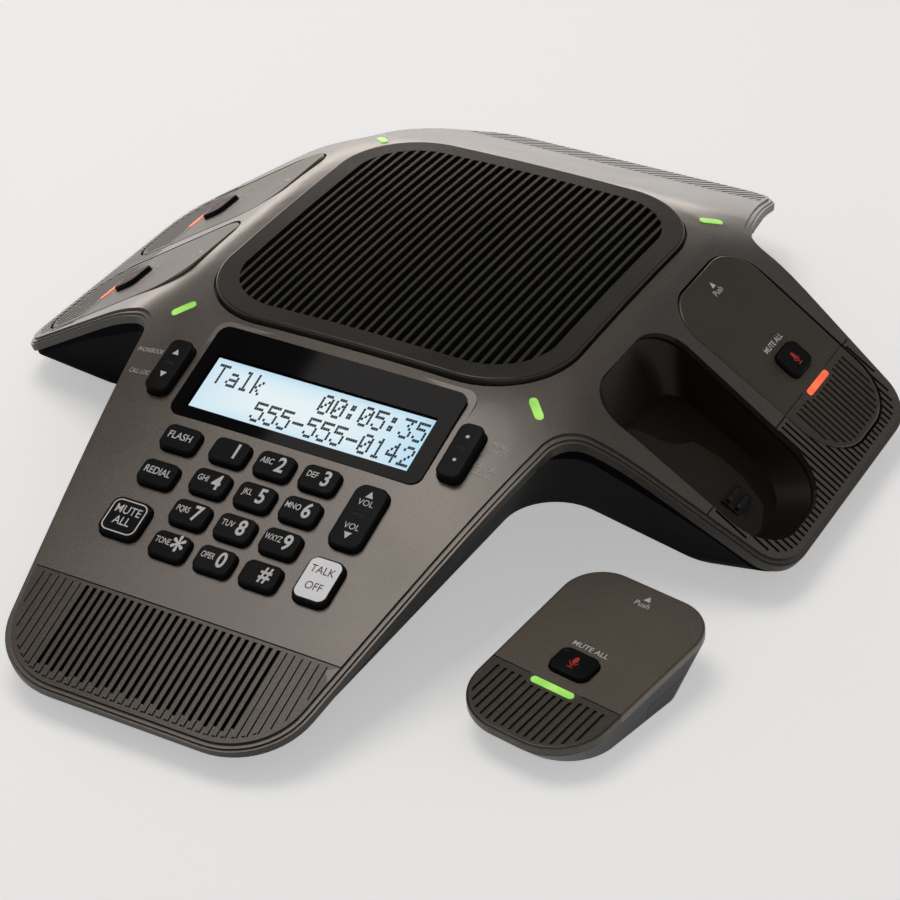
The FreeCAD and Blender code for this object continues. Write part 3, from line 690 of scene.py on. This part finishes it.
def printKeys(look):
    above = look["top"] + look["lift"]
    for count, (key, letters, sign) in enumerate(digitKeys):
        x = (count % 3 - 1) * look["columns"]
        y = -(count // 3) * look["rows"]
        body = "key_" + key
        shiftX, shiftY, height = shiftedSigns.get(sign, (0.0, 0.0, look["digitHeight"]))
        spot = movedAlong(frontArm, x + look["digitAcross"], y + look["digitUp"], above)
        label("legend_" + key, sign, movedAlong(spot, shiftX, shiftY), height, "ink", body,
              heavy=look["digitHeavy"])
        if letters:
            wide = look["manyWide"] if len(letters) > 3 else look["fewWide"]
            spot = movedAlong(frontArm, x + look["letterAcross"], y + look["letterUp"], above)
            label("letters_" + key, letters, spot, look["letterHeight"], "ink", body, wide, look["heavy"])
    for key, words, x, y, height, wide in wordKeys:
        label("legend_" + key, words, movedAlong(frontArm, x, y, above), height, "ink", "key_" + key, wide,
              look["heavy"])


printKeys(keyPrint)

muteFrame = {"x": -35.8, "y": -33.8, "wide": 12.4, "deep": 12.2, "line": 0.45, "round": 2.6, "lift": 0.03}
flatShape("mute_all_outline", boxCorners(muteFrame["wide"], muteFrame["deep"]),
          movedAlong(frontArm, muteFrame["x"], muteFrame["y"], keyPrint["top"] + muteFrame["lift"]), "ink",
          "key_mute_all", muteFrame["round"], muteFrame["line"])

talkCap = {"x": 34.7, "y": -33.7, "wide": 10.9, "deep": 14.6, "round": 2.4, "steps": 8, "wall": 0.12,
           "inset": 0.18, "crown": 0.05, "lift": 0.01, "words": (("TALK", 3.1), ("OFF", -2.9)),
           "wordHeight": 2.9, "wordWide": 0.88, "wordLift": 0.2}


def makeTalkCap(look):
    # The pale insert is a low pad with a rounded rim, set into the key's top.
    startFresh()
    bpy.ops.mesh.primitive_plane_add(size=mm)
    piece = bpy.context.object
    piece.data.transform(Matrix.Diagonal((look["wide"], look["deep"], 1.0, 1.0)))
    raisePad(look)
    place = movedAlong(frontArm, look["x"], look["y"], keyPrint["top"] + look["lift"])
    finishPiece(piece, "talk_cap", place, "talk", "key_talk_off")
    for words, up in look["words"]:
        label("talk_word_" + words.lower(), words, movedAlong(place, 0, up, look["wordLift"]),
              look["wordHeight"], "darkInk", "key_talk_off", look["wordWide"])


makeTalkCap(talkCap)

rockerPrint = {"volume": (35.2, -8.6), "phonebook": (-53.9, 24.6), "menu": (53.9, 24.6), "wordHeight": 2.3,
               "wordWide": 0.9}
dot = ovalCorners(0.62, 0.62, 12, 24)
# Each sign's rocker, its shape or word, how far up the rocker it lies and, on a dark mark of painted recess
# shade, its rounding
rockerSigns = {
    "volume_up": ("volume", triangleCorners(2.7), 8.4),
    "volume_down": ("volume", triangleCorners(2.7, False), -7.6),
    "volume_word_upper": ("volume", "VOL", 5.1),
    "volume_word_lower": ("volume", "VOL", -4.2),
    "volume_recess_shade": ("volume", boxCorners(4.2, 0.8), 0.6, 0.39),
    "phonebook_up": ("phonebook", triangleCorners(2.4), 5.2),
    "phonebook_down": ("phonebook", triangleCorners(2.4, False), -4.4),
    "phonebook_recess_shade": ("phonebook", boxCorners(3.6, 0.7), 0.5, 0.34),
    "menu_dot": ("menu", dot, 5.4),
    "cancel_dot": ("menu", dot, -3.9),
    "menu_recess_shade": ("menu", boxCorners(3.6, 0.7), 0.8, 0.34),
}


def printRockers(look):
    for name, (rocker, sign, up, *rounding) in rockerSigns.items():
        body = "rocker_" + rocker
        face = movedAlong(frontArm, *look[rocker], keyPrint["top"] + keyPrint["lift"])
        spot = movedAlong(face, 0, up)
        if isinstance(sign, str):
            label(name, sign, spot, look["wordHeight"], "ink", body, look["wordWide"])
        else:
            # Marks with a rounding are flat sheets of painted shade where the rocker has a recess.
            flatShape(name, sign, spot, "recessShade" if rounding else "ink", body, *rounding)


printRockers(rockerPrint)

coverWords = [("phonebook_word", "PHONEBOOK", -66.5, 30.9, 2.0, 0.62),
              ("call_log_word", "CALL LOG", -65.2, 21.5, 2.0, 0.62),
              ("menu_word", "MENU\nSELECT", 63.3, 31.5, 1.95, 0.76),
              ("cancel_word", "CANCEL\nCLEAR", 62.5, 22.2, 1.95, 0.76)]


def printCover(words):
    for name, text, x, y, height, wide in words:
        label(name, text, movedAlong(frontArm, x, y, 1.0), height, "paleInk", "base", wide,
              onto=nodes["top_cover"])


printCover(coverWords)
print("Key legends printed")

# Display

display = {"x": -0.5, "y": 24.0, "wide": 82.6, "deep": 22.4, "behind": -1.90, "columnStep": 0.825,
           "rowStep": 1.14, "firstLeft": -39.6, "rowTops": (33.0, 23.2), "gap": 0.03, "dotLift": 0.05,
           "cellWide": 6, "cellDeep": 7}
characterDots = {
    "T": "11111 00100 00100 00100 00100 00100 00100",
    "a": "00000 00000 01110 00001 01111 10001 01111",
    "l": "01100 00100 00100 00100 00100 00100 01110",
    "k": "10000 10000 10010 10100 11000 10100 10010",
    "0": "01110 10001 10011 10101 11001 10001 01110",
    "1": "00100 01100 00100 00100 00100 00100 01110",
    "2": "01110 10001 00001 00010 00100 01000 11111",
    "3": "11111 00010 00100 00010 00001 10001 01110",
    "4": "00010 00110 01010 10010 11111 00010 00010",
    "5": "11111 10000 11110 00001 00001 10001 01110",
    ":": "00000 01100 01100 00000 01100 01100 00000",
    "-": "00000 00000 00000 11111 00000 00000 00000",
}
displayRows = ["Talk    00:05:35", "    555-555-0142"]


def makeScreen(look):
    startFresh()
    bpy.ops.mesh.primitive_grid_add(x_subdivisions=8, y_subdivisions=4, size=1.0)
    piece = bpy.context.object
    piece.data.transform(Matrix.Diagonal((look["wide"] * mm, look["deep"] * mm, 1.0, 1.0)))
    place = movedAlong(frontArm, look["x"], look["y"], look["behind"])
    finishPiece(piece, "screen_field", place, "screen", "base")
    for count, words in enumerate(displayRows):
        columns, rows = len(words) * look["cellWide"], look["cellDeep"]
        startFresh()
        bpy.ops.mesh.primitive_grid_add(x_subdivisions=columns, y_subdivisions=rows, size=1.0)
        piece = bpy.context.object

        def isClear(face):
            column = int((face.center.x + 0.5) * columns)
            row = rows - 1 - int((face.center.y + 0.5) * rows)
            sign = words[column // look["cellWide"]]
            inside = column % look["cellWide"]
            return sign == " " or inside == 5 or characterDots[sign].split()[row][inside] == "0"

        pickFaces(piece, isClear)
        bpy.ops.mesh.delete(type="FACE")
        objectMode()
        wide = columns * look["columnStep"]
        deep = rows * look["rowStep"]
        piece.data.transform(Matrix.Diagonal((wide * mm, deep * mm, 1.0, 1.0)))
        editAll()
        bpy.ops.mesh.inset(thickness=look["gap"] * mm, use_individual=True)
        bpy.ops.mesh.select_all(action="INVERT")
        bpy.ops.mesh.delete(type="FACE")
        objectMode()
        place = movedAlong(frontArm, look["firstLeft"] + wide / 2, look["rowTops"][count] - deep / 2,
                           look["behind"] + look["dotLift"])
        finishPiece(piece, "screen_row_%d" % (count + 1), place, "pixel", "base")


makeScreen(display)
print("Display drawn")

# Microphone legends

micPrint = {"lift": 0.03, "push": (0.9, 43.9), "arrow": (1.2, 47.0), "words": (-0.3, 18.4),
            "button": (0, 9.8), "buttonTop": 1.7, "arrowSize": 2.5, "pushHeight": 2.3, "pushWide": 0.95,
            "wordHeight": 2.1, "wordHeavy": 0.03}
outerCradle = ovalCorners(1.6, 1.5, 10, 11, math.pi)
innerCradle = [(1.25 * x / 1.6, 1.15 * y / 1.5) for x, y in reversed(outerCradle)]
# The red icon's pieces and how far up the button they lie
micIcon = {"head": (ovalCorners(0.85, 1.6, 8, 16, up=0.5), 0.3), "stand": (boxCorners(2.2, 0.35), -2.4),
           "stem": (boxCorners(0.4, 1.0), -1.9), "cradle": (outerCradle + innerCradle, 0.1)}


def printMicrophone(mic, place, look):
    arrow, push, words = [movedAlong(place, *look[part], look["lift"]) for part in ("arrow", "push", "words")]
    flatShape(mic + "_arrow", triangleCorners(look["arrowSize"]), arrow, "ink", mic)
    label(mic + "_push", "Push", push, look["pushHeight"], "ink", mic, look["pushWide"])
    label(mic + "_words", "MUTE ALL", words, look["wordHeight"], "ink", mic, 1.0, look["wordHeavy"])
    top = movedAlong(place, *look["button"], look["buttonTop"] + look["lift"])
    for part, (corners, up) in micIcon.items():
        flatShape(mic + "_icon_" + part, corners, movedAlong(top, 0, up), "redInk", mic + "_mute_button")


for mic, place in micPlaces.items():
    printMicrophone(mic, place, micPrint)
print("Microphones printed")

# Ribbed cover

ribs = {"pitch": 2.767, "wide": 1.1, "deep": 0.9, "slotWide": 1.35, "slotDeep": 1.6, "lineWide": 0.5,
        "lineDeep": 0.55, "seamWide": 0.45, "seamDeep": 0.5, "slotCount": 26, "above": 3.0, "belowSeam": 1.3,
        "shortest": 1.4, "lastStep": 3.6, "stepChange": 1.1, "between": 0.12, "hook": 1.1, "hookTurn": 0.8}
# Each arm's outline on its slope: half width beside the origin, how much that narrows for each millimetre
# down the slope, the tip, the corners' rounding and how far the ribs stay inside all that
sideArm = {"seam": 0.0, "edge": 60.4, "taper": 0.167, "tip": 32.5, "round": 19.0, "inside": 4.0,
           "seamReach": 63.0, "depthShare": 1.0}
armRibs = {
    "front": {"place": frontArm, "seam": -57.9, "edge": 68.26, "taper": 0.188, "tip": 96.6, "round": 28.0,
              "inside": 3.6, "seamReach": 60.0, "cornerDeep": 14.0},
    "right": dict(sideArm, place=rightArm),
    "left": dict(sideArm, place=leftArm),
    "back": {"place": backArm, "seam": -7.2, "edge": 66.76, "taper": 0.2457, "tip": 38.2, "round": 17.0,
             "inside": 3.8, "seamReach": 72.0, "depthShare": 0.35},
}


def ribEnd(arm, x, sideTurn=80):
    # Where a rib meets the rim, and how far the rim has turned from straight across there.
    lean = math.sqrt(1 + arm["taper"] ** 2)
    middleY = arm["round"] - arm["tip"]
    middleX = arm["edge"] + arm["taper"] * middleY - arm["round"] * lean
    radius = arm["round"] - arm["inside"]
    past = abs(x) - middleX
    if past <= 0:
        return arm["inside"] - arm["tip"], 0.0
    if past < radius / lean:
        turn = math.asin(past / radius)
        return middleY - radius * math.cos(turn), math.copysign(turn, x)
    side = (abs(x) - arm["edge"] + arm["inside"] * lean) / arm["taper"]
    return side, math.copysign(math.radians(sideTurn), x)


def addCutter(place, x, low, high, wide, deep, top):
    startFresh()
    bpy.ops.mesh.primitive_cube_add(size=mm)
    cutter = bpy.context.object
    cutter.data.transform(movedAlong(place, x, (low + high) / 2, (top - deep) / 2) @
                          Matrix.Diagonal((wide, high - low, top + deep, 1.0)))
    return cutter


def armCutters(name, arm, look):
    place, above, halfLine = arm["place"], look["above"], look["lineWide"] / 2
    halfSeam = look["seamWide"] / 2
    cutters = [addCutter(place, 0.0, arm["seam"] - halfSeam, arm["seam"] + halfSeam, 2 * arm["seamReach"],
                         look["seamDeep"], above)]
    count = 2 * int(arm["edge"] / look["pitch"])
    start = arm["seam"] - look["belowSeam"]
    for step in range(count):
        x = (step - (count - 1) / 2) * look["pitch"]
        end, turn = ribEnd(arm, x)
        if start - end < look["shortest"]:
            continue
        if name != "front":
            deep = look["deep"] * arm["depthShare"]
            cutters.append(addCutter(place, x, end, start, look["wide"], deep, above))
            continue
        lineStart = start
        if abs(x) < look["slotCount"] / 2 * look["pitch"]:
            stop = end + look["lastStep"] - look["stepChange"] * (step % 2)
            cutters.append(addCutter(place, x, stop, start, look["slotWide"], look["slotDeep"], above))
            x -= look["slotWide"] / 2 - halfLine
            lineStart = stop - look["between"]
        cutters.append(addCutter(place, x, end, lineStart, look["lineWide"], look["lineDeep"], above))
        if abs(turn) > look["hookTurn"]:
            continue
        away = look["between"] + halfLine * math.tan(abs(turn))
        hook = movedAlong(place, x - halfLine, end + halfLine) @ Matrix.Rotation(turn, 4, "Z")
        cutters.append(addCutter(hook, -look["hook"] / 2 - away, -halfLine, halfLine, look["hook"],
                                 look["lineDeep"], above))
    return cutters


def carrySmoothing(piece, solid, reach=0.00003, alike=0.95):
    # Takes the solid's own shading for what is left of its skin. Cut walls keep their flat normals.
    skin = solid.data
    spots = [vertex.co for vertex in skin.vertices]
    tree = BVHTree.FromPolygons(spots, [tuple(face.vertices) for face in skin.polygons])
    normals = [Vector((0.0, 0.0, 0.0))] * len(piece.data.loops)
    for face in piece.data.polygons:
        for corner in face.loop_indices:
            spot = piece.data.vertices[piece.data.loops[corner].vertex_index].co
            normals[corner] = face.normal
            if face.material_index:
                continue
            near = tree.find_nearest_range(spot, reach)
            if not near:
                continue
            match = max(near, key=lambda found: found[1].dot(face.normal))
            if match[1].dot(face.normal) < alike:
                continue
            old = skin.polygons[match[2]]
            corners = [spots[i] for i in old.vertices]
            skinNormals = [skin.corner_normals[i].vector for i in old.loop_indices]
            blend = geometry.barycentric_transform(match[0], *corners, *skinNormals)
            normals[corner] = blend.normalized()
    piece.data.normals_split_custom_set(normals)


coverShade = {"steep": 0.45, "rimFrom": 85, "level": 0.3}


def paintCover(cover, look):
    # Painted shade: the rib tops on the front arm's ribbed end and the upright walls of the rim get darker
    # finishes, for the shade among the ribs and on the upright walls.
    cover.data.materials.append(finishes["ribShade"])
    cover.data.materials.append(finishes["rim"])
    toSlope = frontArm.inverted()
    arm = armRibs["front"]
    for face in cover.data.polygons:
        if face.material_index:
            continue
        spot = toSlope @ face.center / mm
        inside = abs(spot.x) - arm["taper"] * spot.y < arm["edge"] - arm["inside"]
        corner = inside and spot.y > arm["seam"] - arm["cornerDeep"]
        if face.normal.z < look["steep"] and math.hypot(*face.center.xy) > look["rimFrom"] * mm:
            # Upright rim walls: painted shade.
            face.material_index = 3
        elif spot.y < arm["seam"] and (abs(spot.z) < look["level"] or corner):
            face.material_index = 2
# Rib tops on the front arm's ribbed end: painted shade.


def makeRibbedCover(look):
    keepOnly(nodes["top_cover"])
    bpy.ops.object.duplicate()
    cover = bpy.context.object
    bpy.ops.object.parent_clear(type="CLEAR_KEEP_TRANSFORM")
    editAll()
    bpy.ops.mesh.remove_doubles(threshold=0.000002)
    objectMode()
    cutters = []
    for name, arm in armRibs.items():
        cutters += armCutters(name, arm, look)
    startFresh()
    for cutter in cutters:
        cutter.select_set(True)
    bpy.context.view_layer.objects.active = cutters[0]
    bpy.ops.object.join()
    tool = bpy.context.object
    tool.data.materials.clear()
    # The groove walls take the nearly black finish, which is partly painted shade.
    tool.data.materials.append(finishes["recessShade"])
    keepOnly(cover)
    cut = cover.modifiers.new("grooves", "BOOLEAN")
    cut.operation = "DIFFERENCE"
    cut.object = tool
    cut.solver = "EXACT"
    cut.material_mode = "TRANSFER"
    bpy.ops.object.modifier_apply(modifier=cut.name)
    bpy.data.objects.remove(tool)
    editAll()
    bpy.ops.mesh.quads_convert_to_tris()
    objectMode()
    bpy.ops.object.shade_smooth()
    carrySmoothing(cover, nodes["top_cover"])
    paintCover(cover, coverShade)
    cover.name = "ribbed_cover"
    cover.data.name = "ribbed_cover"
    print("Cover cut:", len(cutters), "grooves,", len(cover.data.polygons), "faces,",
          len(cover.material_slots), "finishes")
    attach(cover, "base")
    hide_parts("top_cover")


makeRibbedCover(ribs)

# Strips that close the cover beside the two upper rockers, where its surface falls away

rockerRim = {"left": 56.2, "right": 60.2, "low": 27.5, "high": 37.6, "steps": (40, 100),
             "hole": (53.9, 24.6), "holeHalf": (4.72, 11.17), "holeRound": 3.4, "at": (60.0, 33.0, -2.26),
             "fall": (-0.143, -0.05)}


def closeRockerRim(name, side, look):
    startFresh()
    across, up = look["steps"]
    bpy.ops.mesh.primitive_grid_add(x_subdivisions=across, y_subdivisions=up, size=1.0)
    piece = bpy.context.object
    wide, deep = look["right"] - look["left"], look["high"] - look["low"]
    for vertex in piece.data.vertices:
        x = look["left"] + (vertex.co.x + 0.5) * wide
        y = look["low"] + (vertex.co.y + 0.5) * deep
        z = look["at"][2] + look["fall"][0] * (x - look["at"][0]) + look["fall"][1] * (y - look["at"][1])
        vertex.co = (side * x * mm, y * mm, z * mm)

    def overHole(face):
        # Inside the rocker's rounded hole.
        x = abs(face.center.x / mm) - look["hole"][0] - look["holeHalf"][0] + look["holeRound"]
        y = face.center.y / mm - look["hole"][1] - look["holeHalf"][1] + look["holeRound"]
        return math.hypot(max(x, 0.0), max(y, 0.0)) < look["holeRound"]

    pickFaces(piece, overHole)
    bpy.ops.mesh.delete(type="FACE")
    faceUp(piece)
    finishPiece(piece, name, frontArm, "cover", "base")


closeRockerRim("menu_rim", 1, rockerRim)
closeRockerRim("phonebook_rim", -1, rockerRim)

# Ledge on the floor of the empty bay

ledge = {"low": -14.1, "lean": -4.5, "round": 1.4, "steps": 6, "wall": 0.26, "inset": 0.16, "crown": 0.16,
         "corners": [(-20, -10), (-12, -17.5), (-3, -18), (6.5, -14), (11.4, -3), (11.9, 5), (10.9, 12.5),
                     (9.6, 17.4), (3.6, 20.4), (-0.6, 26.4), (-2.0, 31.8), (-8.6, 40.9), (-16, 44),
                     (-20, 40)]}


def makeLedge(look):
    piece = addOutline(look["corners"])
    raisePad(look)
    place = movedAlong(emptyBay, 0, 0, look["low"]) @ Matrix.Rotation(math.radians(look["lean"]), 4, "X")
    finishPiece(piece, "bay_ledge", place, "ledge", "base")


makeLedge(ledge)
print("Ledge laid in the empty bay")

# Speaker cloth

cloth = {"half": 58.6, "low": 60.06, "round": 22.0, "steps": 10, "rings": (7.0, 7.0)}


def makeCloth(look):
    startFresh()
    bpy.ops.mesh.primitive_plane_add(size=2 * look["half"] * mm)
    piece = bpy.context.object
    roundCorners(look["round"], look["steps"])
    editAll()
    for ring in look["rings"]:
        bpy.ops.mesh.inset(thickness=ring * mm)
    objectMode()
    place = Matrix.Translation((0, 0, look["low"] * mm))
    finishPiece(piece, "speaker_cloth", place, "cloth", "base")


makeCloth(cloth)
print("Speaker cloth laid")

# Room and light

room = {"floorHalf": 3.0, "floorLow": -0.0002, "floorColour": (0.86, 0.86, 0.86), "floorRough": 0.85,
        "floorSpecular": 0.2, "seenColour": (0.98, 0.98, 0.98), "seenGlow": 0.42, "white": (1.0, 1.0, 1.0),
        "horizon": (0.88, 0.83, 0.78), "overhead": (0.15, 0.15, 0.15), "overheadFrom": 0.28}


def seenBy(tree, *rays):
    # 1 for the camera's rays and for the other kinds given, else 0.
    kinds = addNode(tree, "LightPath").outputs
    seen = kinds["Is Camera Ray"]
    for ray in rays:
        seen = doMath(tree, "MAXIMUM", seen, kinds["Is %s Ray" % ray])
    return seen


def makeFloor(look):
    # White to the camera and to what mirrors it, a little darker as a source of light.
    startFresh()
    bpy.ops.mesh.primitive_plane_add(size=2 * look["floorHalf"])
    floor = bpy.context.object
    floor.name = "studio_floor"
    floor.location.z = look["floorLow"]
    material, tree, shader = newMaterial("studioFloor")
    seen = seenBy(tree, "Glossy", "Transmission")
    feed(tree, shader, {"Base Color": blendColour(tree, seen, look["floorColour"], look["seenColour"]),
                        "Roughness": look["floorRough"], "Specular IOR Level": look["floorSpecular"],
                        "Emission Color": look["white"],
                        "Emission Strength": times(tree, seen, look["seenGlow"])})
    floor.data.materials.append(material)


def setWorld(look):
    # White to the camera, and warm light from the horizon for everything else.
    scene.world = bpy.data.worlds.new("studioAir")
    scene.world.use_nodes = True
    tree = scene.world.node_tree
    tree.nodes.clear()
    direction = axesOf(tree, addNode(tree, "TexCoord").outputs["Generated"])
    height = ramp(tree, direction["Z"], 0.0, look["overheadFrom"])
    air = blendColour(tree, height, look["horizon"], look["overhead"])
    colour = blendColour(tree, seenBy(tree, "Transmission"), air, look["white"])
    back = feed(tree, addNode(tree, "Background"), {"Color": colour})
    feed(tree, addNode(tree, "OutputWorld"), {"Surface": back[0]})


makeFloor(room)
setWorld(room)

lampAim = (0.02, -0.03, 0.03)
lamps = {
    "topSoft": {"spot": (-0.22, 0.02, 1.00), "size": (0.55, 0.55), "power": 2.5, "colour": (1.0, 0.95, 0.91)},
    "backSoft": {"spot": (-0.80, 1.04, 0.20), "size": (1.30, 0.32), "power": 3.3,
                 "colour": (1.0, 0.91, 0.83)},
    "fillSoft": {"spot": (0.9, -1.1, 0.7), "size": (0.90, 0.90), "power": 0.9, "colour": (1.0, 1.0, 1.0)},
}


def makeLamps(plan):
    for name, lamp in plan.items():
        spot = Vector(lamp["spot"])
        aim = (Vector(lampAim) - spot).to_track_quat("-Z", "Y")
        bpy.ops.object.light_add(type="AREA", location=spot, rotation=aim.to_euler())
        light = bpy.context.object
        light.name = name
        light.data.shape = "RECTANGLE"
        light.data.size, light.data.size_y = lamp["size"]
        light.data.energy = lamp["power"]
        light.data.color = lamp["colour"]


makeLamps(lamps)
scene.view_settings.view_transform = "Standard"
print("Room and lamps ready")

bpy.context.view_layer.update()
